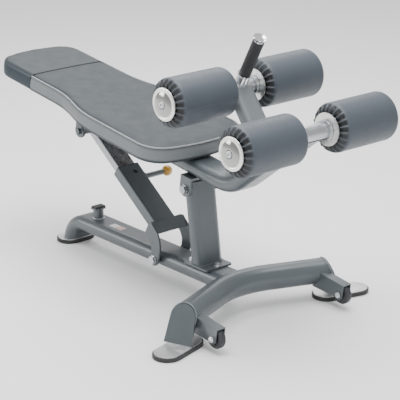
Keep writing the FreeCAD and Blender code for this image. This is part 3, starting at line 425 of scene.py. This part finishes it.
def pad_loop():
    """The pad's plan, front edge at x = 0 and head end at x = -PAD_LONG."""
    fx, fy = -EDGE_CROWN - FRONT_CORNER, PAD_HALF_WIDE - FRONT_CORNER
    hx, hy = -PAD_LONG + EDGE_CROWN + HEAD_CORNER, PAD_HALF_NARROW - HEAD_CORNER
    lean = 8.0
    corner = arc((fx, fy), FRONT_CORNER, lean, 90)
    head = arc((hx, hy), HEAD_CORNER, 90, 180 - lean)
    pull = (PAD_NARROW_START - PAD_WIDE_END) * 0.45
    waist = bezier((-PAD_WIDE_END, PAD_HALF_WIDE), (-PAD_WIDE_END - pull, PAD_HALF_WIDE),
                   (-PAD_NARROW_START + pull, PAD_HALF_NARROW), (-PAD_NARROW_START, PAD_HALF_NARROW))
    half = np.vstack((shallow_arc(corner[0], (0.0, 0.0))[:-1], corner, waist, head,
                      shallow_arc(head[-1], (-PAD_LONG, 0.0))[::-1][1:]))
    far = half[1:-1][::-1] * (1, -1)
    return even_loop(np.vstack((half, far)), SPACING)


# ---------------------------------------------------------------- upholstery
def smoothed(value):
    value = np.clip(value, 0, 1)
    return value * value * (3 - 2 * value)


def inward(loop, share):
    """The loop pulled by a share of the way to the pad's middle line."""
    target = np.column_stack((np.clip(loop[:, 0], SPINE_HEAD, SPINE_FRONT), np.zeros(len(loop))))
    return loop + (target - loop) * share


def pad_rows(loop, normal, sink):
    """Rings from the underside's middle, round the side and over the top, and how firmly each is pinned."""
    rows, pinned = [], []

    def ring(plan, height, pin=0.0):
        rows.append(np.column_stack((plan, np.full(len(plan), height))))
        pinned.append(np.full(len(plan), pin))

    bottom = -PAD_THICK
    for share in (PINCH, 0.6, 0.30):
        ring(inward(loop, share), bottom + 3 * mm, 1.0)
    for offset, height in ((-26, 0.2), (-18, -0.2), (-12, -0.3), (-7, 0.0),
                           (-3.4, 1.0), (-1.2, 2.8), (-0.2, 5.4)):
        ring(loop + normal * (offset * mm), bottom + height * mm, 1.0 if offset < -5 else 0.4)
    band_low, band_high = bottom + 9 * mm, -8.0 * mm
    for t in np.linspace(0, 1, 8):
        swell = 1.6 * mm * math.sin(math.pi * t) - 1.0 * mm
        ring(loop + normal * swell, band_low + (band_high - band_low) * t - sink)
    for offset, height in ((-1.9, -6.6), (-3.6, -5.6), (-5.6, -4.2), (-6.4, -3.0)):
        ring(loop + normal * (offset * mm), height * mm - sink, 1.0)
    for offset, height in ((-8.6, -1.3), (-12, -0.5), (-17, 0.0)):
        ring(loop + normal * (offset * mm), height * mm - sink)
    edge = loop + normal * (-17 * mm)
    for share in np.linspace(0, PINCH, 20)[1:]:
        crown = 1.4 * mm * smoothed(share * 1.6)
        ring(inward(edge, share), crown - sink)
    return np.array(rows), np.array(pinned)


def middle_row(row, loop):
    """The ring's last step, drawn together on the pad's middle line at an evened height."""
    reach = 4
    evening = np.full(2 * reach + 1, 1 / (2 * reach + 1))
    target = inward(loop, 1.0)
    order = np.argsort(row[:, 0])
    height = np.convolve(np.pad(row[order, 2], reach, "edge"), evening, "valid")
    return np.column_stack((target, np.interp(target[:, 0], row[order, 0], height)))


def puffed(rest, pinned, cap):
    """Rest points swollen by Blender's cloth under pressure, moved by no more than cap."""
    faces = ring_faces(*rest.shape[:2])
    made = mesh_object("cloth_work", rest.reshape(-1, 3), faces, work_material(), merge=-1.0)
    group = made.vertex_groups.new(name="pin")
    for index, weight in enumerate(pinned.reshape(-1)):
        if weight > 0:
            group.add([index], float(weight), "REPLACE")
    cloth = made.modifiers.new("Cloth", "CLOTH")
    settings = cloth.settings
    settings.quality = 6
    settings.mass = 0.35
    settings.tension_stiffness = 18
    settings.compression_stiffness = 14
    settings.bending_stiffness = 2.5
    settings.use_pressure = True
    settings.uniform_pressure_force = PRESSURE
    settings.vertex_group_mass = "pin"
    settings.effector_weights.gravity = 0
    cloth.collision_settings.use_collision = False
    scene = bpy.context.scene
    for step in range(1, CLOTH_FRAMES + 1):
        scene.frame_set(step)
    graph = bpy.context.evaluated_depsgraph_get()
    shaped = made.evaluated_get(graph)
    result = np.array([v.co for v in shaped.data.vertices]).reshape(rest.shape)
    bpy.data.objects.remove(made)
    scene.frame_set(1)
    move = result - rest
    length = np.linalg.norm(move, axis=-1, keepdims=True) + 1e-9
    return rest + move * (cap * np.tanh(length / cap) / length)


def work_material():
    """A material for the simulated mesh, which is thrown away."""
    return bpy.data.materials.get("cloth_work") or bpy.data.materials.new("cloth_work")


def set_attribute(made, name, values):
    layer = made.data.attributes.new(name, "FLOAT", "POINT")
    layer.data.foreach_set("value", np.asarray(values, np.float32))


def ring_faces(count, width):
    """Quads between rings of width points each."""
    faces = []
    for i in range(count - 1):
        for j in range(width):
            k, below = (j + 1) % width, i + 1
            faces.append((i * width + j, i * width + k, below * width + k, below * width + j))
    return faces


def finish_piece(made, body, slot, *nodes):
    """Put a piece on its body, in place of any CAD nodes named."""
    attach(made, body)
    if nodes:
        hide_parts(*nodes)
    return made


def build_cushion(material, painted_highlight_welt_material, thread):
    """The cushion, tucked in where the head cover goes over it, with its welt and a row of stitches."""
    groove_rows, lower_edge_row = slice(19, 23), 9
    groove_shade, lower_edge_shade = np.array([0.15, 0.55, 0.95, 0.55]), 0.8
    tuck_mm, tuck_share, head_tuck_mm, head_tuck_from = 2.6, 0.020, 4, -0.82
    seam_set_in, seam_r, seam_z, thread_drop = 2.7 * mm, 2.7 * mm, -3.9 * mm, 7.2 * mm
    loop, normal = pad_loop()
    rows, pinned = pad_rows(loop, normal, sink=1.5 * mm)
    rows = puffed(rows, pinned, CUSHION_CAP)
    rows = np.concatenate((middle_row(rows[0], loop)[None], rows, middle_row(rows[-1], loop)[None]))
    under_cover = smoothed((-HEAD_SEAM + 2 * mm - rows[..., 0]) / (4 * mm))
    rows[..., 2] -= under_cover * np.where(rows[..., 2] > -30 * mm, tuck_mm, -tuck_mm) * mm
    rows[..., 1] *= 1 - under_cover * tuck_share
    rows[..., 0] += under_cover * smoothed((head_tuck_from - rows[..., 0]) / 0.05) * head_tuck_mm * mm
    # painted shade: near black in the groove rings beside the welt and along the lower edge ring, where shade
    # falls
    shade = np.zeros(rows.shape[:2])
    shade[groove_rows] = groove_shade[:, None]
    shade[lower_edge_row] = lower_edge_shade
    cushion = surface_object("seat_cushion", rows, material, shade=("painted_crease_shade", shade))
    # painted light: the side band between the welt and the lower edge, painted lighter where the side catches
    # light
    painted_side_shading = [smoothed((-6 * mm - v.co.z) / (2 * mm)) * smoothed((v.co.z + 48 * mm) / (4 * mm))
            for v in cushion.data.vertices]
    set_attribute(cushion, "painted_side_shading", painted_side_shading)
    cushion.data.transform(PAD_PLACE)
    finish_piece(cushion, "seat", "pad_vinyl", "pad_cushion")

    keep = loop[:, 0] > -HEAD_SEAM + 1 * mm
    first = int(np.argmax(~keep))
    order = np.roll(np.arange(len(loop)), -first)
    order = order[keep[order]]
    path = np.column_stack((loop + normal * -seam_set_in, np.full(len(loop), seam_z)))[order]
    # the welt carries a painted highlight in its lighter colour
    welt = tube_object("seat_cushion_welt", path, seam_r, painted_highlight_welt_material, sides=12)
    welt.data.transform(PAD_PLACE)
    finish_piece(welt, "seat", "pad_vinyl")
    stitch_line = path - (0, 0, thread_drop)
    stitches = stitch_row("seat_cushion_stitches", stitch_line, normal[order], thread)
    stitches.data.transform(PAD_PLACE)
    finish_piece(stitches, "seat", "pad_vinyl")


def stitch_row(name, path, normal, material):
    """Short raised stitches that follow a seam."""
    pitch, offset = 5.5 * mm, 2.5 * mm
    along = np.concatenate(([0], np.cumsum(np.linalg.norm(np.diff(path, axis=0), axis=1))))
    starts = np.arange(pitch, along[-1] - pitch, pitch)
    points, faces = [], []
    wide, tall, long = 0.35 * mm, 0.30 * mm, 3.6 * mm
    for at in starts:
        ends = [np.array([np.interp(at + d, along, path[:, k]) for k in range(3)])
                for d in (0, long / 2, long)]
        out = np.array([np.interp(at, along, normal[:, k]) for k in (0, 1)] + [0.0])
        up = np.array((0, 0, 1.0))
        base = len(points)
        for end, lift in zip(ends, (0.0, 1.0, 0.0)):
            for a, b in ((-1, 0), (0, 1), (1, 0), (0, -1)):
                points.append(end + up * a * wide + out * (offset + (b + lift) * tall))
        for ring in (0, 1):
            for k in range(4):
                a, b = base + ring * 4 + k, base + ring * 4 + (k + 1) % 4
                faces.append((a, b, b + 4, a + 4))
        faces.append(tuple(base + k for k in range(4)))
        faces.append(tuple(base + 8 + k for k in range(4)))
    return mesh_object(name, points, faces, material, merge=-1.0)


def build_head_cover(material, dark):
    """A separate fitted cover pulled over the head end."""
    loop, normal = pad_loop()
    rows, pinned = [], []
    bottom = -PAD_THICK
    profile = [(-40, -0.9), (-28, -1.0), (-18, -1.1), (-10, -1.0), (-5, -0.3), (-2, 1.6), (-0.3, 4.5),
               (0.4, 9), (0.9, 16), (1.1, 24), (1.0, 32), (0.6, 40),
               (-0.6, 45.5), (-2.8, 49.5), (-6.0, 52.3), (-10, 53.6)]
    for offset, height in profile:
        rows.append(np.column_stack((loop + normal * offset * mm, np.full(len(loop), bottom + height * mm))))
        pinned.append(np.full(len(loop), 1.0 if offset < -15 else 0.0))
    edge = loop + normal * -14 * mm
    for share in np.linspace(0, PINCH, 20):
        crown = bottom + 54.2 * mm + 1.2 * mm * smoothed(share * 1.6)
        rows.append(np.column_stack((inward(edge, share), np.full(len(loop), crown))))
        pinned.append(np.zeros(len(loop)))
    rows, pinned = np.array(rows), np.array(pinned)
    rows = puffed(rows, pinned, COVER_CAP)
    rows = np.concatenate((rows, middle_row(rows[-1], loop)[None]))
    made = surface_object("head_cover_skin", rows, material)
    bm = bmesh.new()
    bm.from_mesh(made.data)
    cut = bmesh.ops.bisect_plane(bm, geom=bm.verts[:] + bm.edges[:] + bm.faces[:],
                                 plane_co=(-HEAD_SEAM, 0, 0), plane_no=(1, 0, 0), clear_outer=True)
    edges = [e for e in cut["geom_cut"] if isinstance(e, bmesh.types.BMEdge)]
    line = ordered_points(edges)
    bm.to_mesh(made.data)
    bm.free()
    # painted shade: the cover's side painted darker than its top; the cover is a darker vinyl, and the rest
    # of the difference is painted shade
    painted_side_shading = [smoothed((-5.5 * mm - v.co.z) / (5 * mm)) for v in made.data.vertices]
    set_attribute(made, "painted_side_shading", painted_side_shading)
    # painted shade: a strip of the cover next to its hem painted near black, where the seam's gap is in shade
    painted_hem_shade = [smoothed((v.co.x + HEAD_SEAM + 2.4 * mm) / (1.2 * mm)) for v in made.data.vertices]
    set_attribute(made, "painted_crease_shade", painted_hem_shade)
    solid = made.modifiers.new("thickness", "SOLIDIFY")
    solid.thickness = 1.4 * mm
    solid.offset = -1
    made.data.transform(PAD_PLACE)
    finish_piece(made, "seat", "head_vinyl", "head_cover")
    hem_line = np.array(line) - (0.6 * mm, 0, 0.2 * mm) + (1.3 * mm, 0, -0.3 * mm)
    # painted shade: the hem bead is near black, a dark line for the shaded gap at the seam
    hem = tube_object("head_cover_hem", hem_line, 1.15 * mm, dark, sides=8)
    hem.data.transform(PAD_PLACE)
    finish_piece(hem, "seat", "head_vinyl")


def ordered_points(edges):
    """The points of an open chain of mesh edges, end to end."""
    links = {}
    for edge in edges:
        a, b = edge.verts
        links.setdefault(a, []).append(b)
        links.setdefault(b, []).append(a)
    ends = [v for v, others in links.items() if len(others) == 1]
    here, before, points = ends[0] if ends else next(iter(links)), None, []
    while here is not None and len(points) < len(links):
        points.append(tuple(here.co))
        following = [v for v in links[here] if v is not before]
        here, before = (following[0] if following else None), here
    return points


# ---------------------------------------------------------------- leg rollers
def build_roller(level, side, foam_material, metal, seam_angle, seed):
    """One foam roller: a gathered vinyl sleeve, its seam, and a polished domed cap on the outer end."""
    name = "%s_roller_%s" % (level, side)
    low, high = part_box(name + "_foam")
    out = 1 if high.y > 0 else -1
    long = high.y - low.y
    centre = ((low.x + high.x) / 2, (low.y + high.y) / 2, (low.z + high.z) / 2)
    dice = random.Random(seed)
    steps = PLEATS * 14
    turns = np.linspace(0, 2 * math.pi, steps, endpoint=False)
    drift = sum(0.16 / k * np.sin(k * turns + dice.uniform(0, 6.3)) for k in (2, 3, 5))
    ridge = np.abs(np.cos(PLEATS * (turns + drift / PLEATS * 2) / 2)) ** 7
    uneven = 1 + 0.25 * np.sin(3 * turns + dice.uniform(0, 6.3))
    rim_r = DISC_R + 0.6 * mm
    rows, painted_fold_shades = [], []
    end_y, gather_y = long / 2, -long / 2

    def ring(radius, y, fold_and_painted_shade):
        """One loop of the sleeve, drawn in between its pleats by a share that also sets the painted shade in
        its folds.
        """
        valley = (1 - ridge) * fold_and_painted_shade * uneven
        reach = np.clip((radius - 50 * mm) / (15 * mm), 0, 1)
        r = radius - PLEAT_DEPTH * reach * valley
        back = -np.sign(y) * PLEAT_DEPTH * (1 - 0.5 * reach) * valley
        rows.append(np.column_stack((centre[0] + r * np.cos(turns), centre[1] + y + back,
                                     centre[2] + r * np.sin(turns))))
        # painted shade in the folds, darker the deeper the valley
        painted_fold_shades.append(np.clip(valley * 1.2, 0, 1) ** 0.8)

    def wrapped_end():
        """The end whose vinyl wraps round the rim of the disc."""
        made = [(BORE_R, end_y - 12 * mm, 0.0), (30 * mm, end_y - 12 * mm, 0.0),
                (rim_r, end_y - 9 * mm, 0.0), (rim_r, end_y - 1.6 * mm, 0.9),
                (rim_r + 1.2 * mm, end_y - 0.2 * mm, 1.0)]
        for radius in (52.5, 55.0):
            made.append((radius * mm, end_y, 1.0))
        for t in np.linspace(0, 1, 12):
            angle = t * math.pi / 2
            made.append((ROLLER_R - WRAP_R * (1 - math.sin(angle)),
                         end_y - WRAP_R * (1 - math.cos(angle)),
                         float(smoothed(1 - t * 2.1))))
        return made

    def gathered_end():
        """The end that is rounded off from behind the disc."""
        made = [(BORE_R, gather_y + 9 * mm, 0.0), (30 * mm, gather_y + 9 * mm, 0.0),
                (40 * mm, gather_y + 6 * mm, 0.3), (44 * mm, gather_y + 1.2 * mm, 0.8)]
        for t in np.linspace(0, 1, 20):
            angle = t * math.pi / 2
            fold_and_painted_shade = 1.0 - 0.25 * t if t < 0.55 else float(0.8625 * smoothed(1 - (t - 0.55) / 0.27))
            made.append((ROLLER_R - GATHER_R * (1 - math.sin(angle)),
                         gather_y + GATHER_R * (1 - math.cos(angle)), fold_and_painted_shade))
        return made

    for item in gathered_end():
        ring(*item)
    for y in np.linspace(gather_y + GATHER_R, end_y - WRAP_R, 22)[1:-1]:
        ring(ROLLER_R - 0.4 * mm + 0.4 * mm * math.cos(math.pi * y / long), y, 0.0)
    for item in wrapped_end()[::-1]:
        ring(*item)
    foam = surface_object(name + "_sleeve", rows, foam_material, close_rows=True)
    # the painted shade of the folds goes on the sleeve as an attribute
    set_attribute(foam, "fold_and_painted_shade", np.array(painted_fold_shades).reshape(-1))
    finish_piece(foam, name, "roller_vinyl", name + "_foam")

    reach = np.linspace(gather_y + 14 * mm, end_y - 4 * mm, 60)
    low_in = np.clip((gather_y + GATHER_R - reach) / GATHER_R, 0, 1)
    high_in = np.clip((reach - end_y + WRAP_R) / WRAP_R, 0, 1)
    seam_r = (ROLLER_R - 0.1 * mm - GATHER_R * (1 - np.sqrt(1 - low_in ** 2))
              - WRAP_R * (1 - np.sqrt(1 - high_in ** 2)))
    path = np.column_stack((centre[0] + seam_r * math.cos(seam_angle), centre[1] + reach,
                            centre[2] + seam_r * math.sin(seam_angle)))
    seam = tube_object(name + "_seam", path, 0.95 * mm, foam_material, sides=8)
    finish_piece(seam, name, "roller_vinyl")

    spool_low, spool_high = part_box(name + "_spool")
    face = spool_high.y if out > 0 else spool_low.y
    outer = [(12.2, 4.4), (12.4, 5.6), (13.2, 6.1), (16, 5.9), (21, 5.3), (27, 4.2), (32, 2.9),
             (35.6, 1.5), (37.0, 0.6), (37.6, 0.25), (38.6, 0.25), (39.4, 0.95), (44.4, 0.95),
             (46.4, 0.6), (47.8, -0.2), (48.6, -1.0)]
    inner = [(48.5, -1.4), (44.6, 0.05), (38.6, 0.05), (36.6, 0.05), (35, 0.5), (31.5, 1.7), (26.5, 3.1),
             (20.5, 4.3), (16, 4.9), (13.2, 5.0)]
    cap = lathe_object(name + "_cap", [(r * mm, y * mm) for r, y in outer + inner],
                       (centre[0], face, centre[2]), out, metal)
    finish_piece(cap, name, "bright_metal")


# ---------------------------------------------------------------- welds
def weld_bead(name, path, radius, material):
    """A rippled closed bead along a joint of the base."""
    ripple = radius * (1 + 0.14 * np.sin(np.arange(len(path)) * 2.1))
    bead = tube_object(name, path, ripple, material, closed=True, sides=8)
    finish_piece(bead, "base", "frame_paint")


def circle_path(centre, radius, across, up, count):
    turns = np.linspace(0, 2 * math.pi, count, endpoint=False)
    return np.asarray(centre) + radius * (np.outer(np.cos(turns), across) + np.outer(np.sin(turns), up))


def oval_path(centre, wide, deep, across, up):
    """A flat-oval loop in the plane of two directions."""
    flat, r = (wide - deep) / 2, deep / 2
    points = np.vstack([arc((flat, 0), r, -90, 90), arc((-flat, 0), r, 90, 270)])
    loop, _ = even_loop(points, 2.2 * mm)
    return np.asarray(centre) + np.outer(loop[:, 0], across) + np.outer(loop[:, 1], up)


def end_plate_weld(name, side, material):
    """The bead where the round cross tube meets its leaning end plate."""
    along = np.array((math.cos(CROSS_SWEEP), -side * math.sin(CROSS_SWEEP), 0))
    out = np.array((math.sin(CROSS_SWEEP), side * math.cos(CROSS_SWEEP), 0))
    up = np.array((0, 0, math.cos(END_PLATE_LEAN))) - out * math.sin(END_PLATE_LEAN)
    end_x = CROSS_CORNER_X + CROSS_END_Y * math.tan(CROSS_SWEEP)
    end = np.array((end_x, side * CROSS_END_Y, RAIL_Z))
    reach = CROSS_R + 0.8 * mm
    path = circle_path(end - out * 1 * mm, reach, along, up / math.cos(END_PLATE_LEAN), 110)
    weld_bead(name, path, 2.2 * mm, material)


# ---------------------------------------------------------------- stage
def add_camera():
    data = bpy.data.cameras.new("camera")
    data.lens = CAMERA_LENS
    data.sensor_width = 36.0
    data.clip_end = 90.0
    camera = bpy.data.objects.new("camera", data)
    camera.location = CAMERA_AT
    camera.rotation_euler = (math.radians(90 - CAMERA_DOWN), 0, math.radians(CAMERA_AZIMUTH))
    bpy.context.scene.collection.objects.link(camera)
    bpy.context.scene.camera = camera


def area_light(name, at, target, size, power):
    data = bpy.data.lights.new(name, "AREA")
    data.shape = "RECTANGLE"
    data.size, data.size_y = size
    data.energy = power
    lamp = bpy.data.objects.new(name, data)
    lamp.location = at
    lamp.rotation_euler = (Vector(target) - Vector(at)).to_track_quat("-Z", "Y").to_euler()
    bpy.context.scene.collection.objects.link(lamp)


def add_stage():
    world = bpy.data.worlds.new("studio")
    world.use_nodes = True
    background = world.node_tree.nodes["Background"]
    background.inputs["Color"].default_value = (1.0, 1.0, 1.0, 1)
    background.inputs["Strength"].default_value = 0.8
    bpy.context.scene.world = world
    floor_look = Surface("studio_floor", (0.86, 0.86, 0.86), 0.85)
    floor_look.paint(floor_look.tinted(floor_look.noise(0.5, 2), 0.01))
    corners = [(x * FLOOR_HALF, y * FLOOR_HALF, FLOOR_Z) for x, y in ((-1, -1), (1, -1), (1, 1), (-1, 1))]
    floor = mesh_object("floor", corners, [(0, 1, 2, 3)], floor_look.mat)
    target = (0, 0, 0.45)
    area_light("key", (-2.7, -2.5, 1.5), target, (1.6, 1.4), 55)
    area_light("back", (-2.0, 1.8, 2.8), target, (2.2, 2.0), 45)
    area_light("top", (0.2, 0.0, 2.9), target, (2.4, 2.4), 120)
    area_light("front", (3.1, -1.2, 1.8), target, (1.5, 1.5), 26)
    sky = bpy.data.lights.new("sky", "SUN")
    sky.energy = 1.0
    sky.angle = math.radians(60)
    lamp = bpy.data.objects.new("sky", sky)
    bpy.context.scene.collection.objects.link(lamp)


# ---------------------------------------------------------------- everything
add_camera()
add_stage()

steel = frame_paint()
# side colours: painted light on the cushion's side (lighter), painted shade on the head cover's side (darker)
pad_look = vinyl("pad_vinyl", (0.030, 0.038, 0.045), 0.50, painted_side_shading=(0.160, 0.174, 0.180))
head_look = vinyl("head_vinyl", (0.030, 0.038, 0.044), 0.44, painted_side_shading=(0.010, 0.022, 0.030))
# painted highlight: the welt's vinyl is painted much lighter than the pad, standing in for the bright
# highlight along the pad's edge
painted_highlight_welt_look = vinyl("welt_vinyl_painted_highlight", (0.240, 0.255, 0.262), 0.26)
foam_look = roller_vinyl()
# painted shade: near black for the bead along the head cover's hem, standing in for the shade in the gap at
# the seam
gap_painted_shade_look = rubber("hem_gap_painted_shade", (0.012, 0.013, 0.016), 0.5, 900)
thread_look = rubber("thread", (0.11, 0.125, 0.14), 0.6, 1500)
black = rubber("black_rubber", (0.018, 0.018, 0.020), 0.6, 700)
moulded = rubber("black_plastic", (0.018, 0.018, 0.020), 0.42, 1100)
tyre_look = rubber("tyre_rubber", (0.022, 0.024, 0.028), 0.5, 800)
zinc = plain_metal("zinc_plate", (0.60, 0.61, 0.63), 0.28)
plate_steel = plain_metal("foot_steel", (0.78, 0.78, 0.77), 0.34, 120)
polished = plain_metal("polished_metal", (0.80, 0.81, 0.83), 0.10, 300, 0.03)
satin = plain_metal("satin_metal", (0.46, 0.48, 0.50), 0.32, 200, 0.05)
inner_steel = plain_metal("inner_steel", (0.34, 0.35, 0.36), 0.30, 200, 0.06)

dress(steel, "main_rail", "cross_tube", "end_plates", "strut_pivot_sleeve", "post", "post_base_plate",
      "hinge_sleeve", "stop_stub", "wheel_brackets", "seat_frame_tube", "hinge_bracket", "lug_bracket",
      "strut_outer_tube", "strut_yoke", "strut_top_sleeve", "pad_cross_plates",
      "pin_housing", "strut_top_bolt")
# painted light: the roller post gets a lighter copy of the frame paint
dress(frame_paint("post_paint_painted_light", PAINTED_LIGHT_PAINT), "roller_post")
dress(satin, "axle_sleeves")
dress(inner_steel, "strut_inner_tube", "hinge_bolt")
dress(plate_steel, "foot_plates")
dress(black, "foot_soles", "stop_cushion")
dress(grip_rubber(), "handle_grip")
dress(moulded, "hinge_bushes", "frame_end_plug", "strut_guide", "strut_inner_glide", "wheel_left_hub",
      "wheel_right_hub")
dress(tyre_look, "wheel_left_tyre", "wheel_right_tyre")
dress(zinc, "post_bolts", "wheel_bolts", "pad_screws", "roller_bolts", "roller_washers",
      "strut_inner_screws", "strut_pivot_bolt", "pin_spring", "pin_plunger", "axle_shafts")
dress(polished, "handle_bar", "handle_socket", "handle_end_cap")
dress(stained_board(), "pad_board")
dress(ball_plastic(), "pin_knob")
dress(label_film(), "rail_label")

build_cushion(pad_look, painted_highlight_welt_look, thread_look)
build_head_cover(head_look, gap_painted_shade_look)

for number, (level, side) in enumerate([(a, b) for a in ("upper", "lower") for b in ("left", "right")]):
    spool = "%s_roller_%s_spool" % (level, side)
    low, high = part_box(spool)
    middle = tuple((low + high) / 2)
    dress(turned_metal("turned_%s_%s" % (level, side), (0.80, 0.79, 0.77), 0.28, middle), spool)
    cap_look = turned_metal("cap_%s_%s" % (level, side), (0.86, 0.85, 0.83), 0.30, middle,
                            CAP_DOME_R, 0.00002)
    seam_angle = math.radians(SEAM_ANGLES[level + "_" + side])
    build_roller(level, side, foam_look, cap_look, seam_angle, FIRST_SEED + number)

post_joint = oval_path((POST_FOOT_X, 0, POST_PLATE_TOP + 1 * mm), TUBE_WIDE + 2 * mm, TUBE_DEEP + 3 * mm,
                       (0, 1, 0), (1, 0, 0))
weld_bead("post_weld", post_joint, 2.4 * mm, steel)
stop_joint = circle_path((STOP_X, 0, RAIL_TOP + 1 * mm), STOP_WELD_R, (1, 0, 0), (0, 1, 0), 70)
weld_bead("stop_weld", stop_joint, 2.0 * mm, satin)

# painted highlight: the end beads get a lighter copy of the frame paint, standing in for bright plate edges
painted_highlight_bead_look = frame_paint("bead_paint_painted_highlight", PAINTED_LIGHT_PAINT)
for side, name in ((-1, "end_weld_left"), (1, "end_weld_right")):
    end_plate_weld(name, side, painted_highlight_bead_look)
